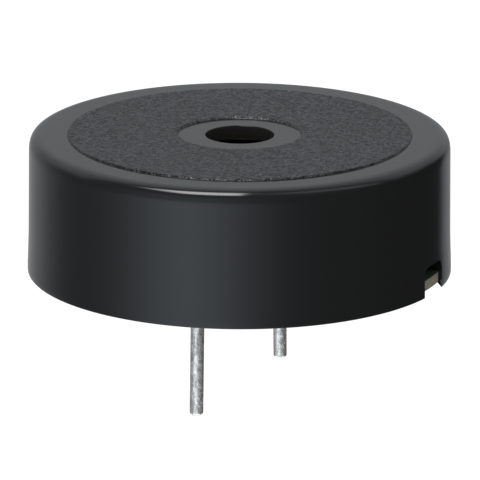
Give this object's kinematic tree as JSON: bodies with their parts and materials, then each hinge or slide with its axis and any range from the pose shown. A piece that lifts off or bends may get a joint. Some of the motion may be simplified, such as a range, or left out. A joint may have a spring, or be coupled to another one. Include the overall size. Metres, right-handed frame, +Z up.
{
  "type": "piezo buzzer",
  "caption": "Round black piezo buzzer with a sound hole in a textured top and two straight pins below, for a printed board.",
  "frame": {"origin": "centre of the plane that the case stands on, midway between the two pins", "axes": "+Z up through the sound hole, Y through both pins, +X out of the key notch"},
  "size_m": [0.0309, 0.031, 0.0192],
  "materials": {
    "case": "black moulding compound with a slight mould sheen and a fine-textured ring on top",
    "base_board": "glass-cloth laminate with green resist on both faces and a bare tan edge",
    "front_pin": "bright tin plate, slightly mottled",
    "rear_pin": "bright tin plate, slightly mottled",
    "pin_pads": "tinned copper",
    "pin_solder": "shiny solder",
    "diaphragm_plate": "rolled brass",
    "piezo_ceramic": "unglazed buff ceramic",
    "main_electrode": "fired silver, matt",
    "feedback_electrode": "fired silver, matt",
    "diaphragm_adhesive": "cured white silicone",
    "board_adhesive": "cured black sealing compound",
    "ground_lead": "black insulated wire",
    "main_lead": "red insulated wire",
    "feedback_lead": "blue insulated wire",
    "diaphragm_solder": "shiny solder",
    "board_solder": "shiny solder",
    "supply_resistor": "black glazed ceramic",
    "base_resistor": "black glazed ceramic",
    "feedback_resistor": "black glazed ceramic",
    "resistor_terminals": "tin plate",
    "transistor_body": "black moulding compound",
    "transistor_leads": "tin plate",
    "top_copper": "copper foil"
  },
  "bodies": {
    "root": {"case": "case", "base_board": "base_board", "front_pin": "front_pin", "rear_pin": "rear_pin", "pin_pads": "pin_pads", "pin_solder": "pin_solder", "diaphragm_plate": "diaphragm_plate", "piezo_ceramic": "piezo_ceramic", "main_electrode": "main_electrode", "feedback_electrode": "feedback_electrode", "diaphragm_adhesive": "diaphragm_adhesive", "board_adhesive": "board_adhesive", "ground_lead": "ground_lead", "main_lead": "main_lead", "feedback_lead": "feedback_lead", "diaphragm_solder": "diaphragm_solder", "board_solder": "board_solder", "supply_resistor": "supply_resistor", "base_resistor": "base_resistor", "feedback_resistor": "feedback_resistor", "resistor_terminals": "resistor_terminals", "transistor_body": "transistor_body", "transistor_leads": "transistor_leads", "top_copper": "top_copper"}
  },
  "joints": []
}
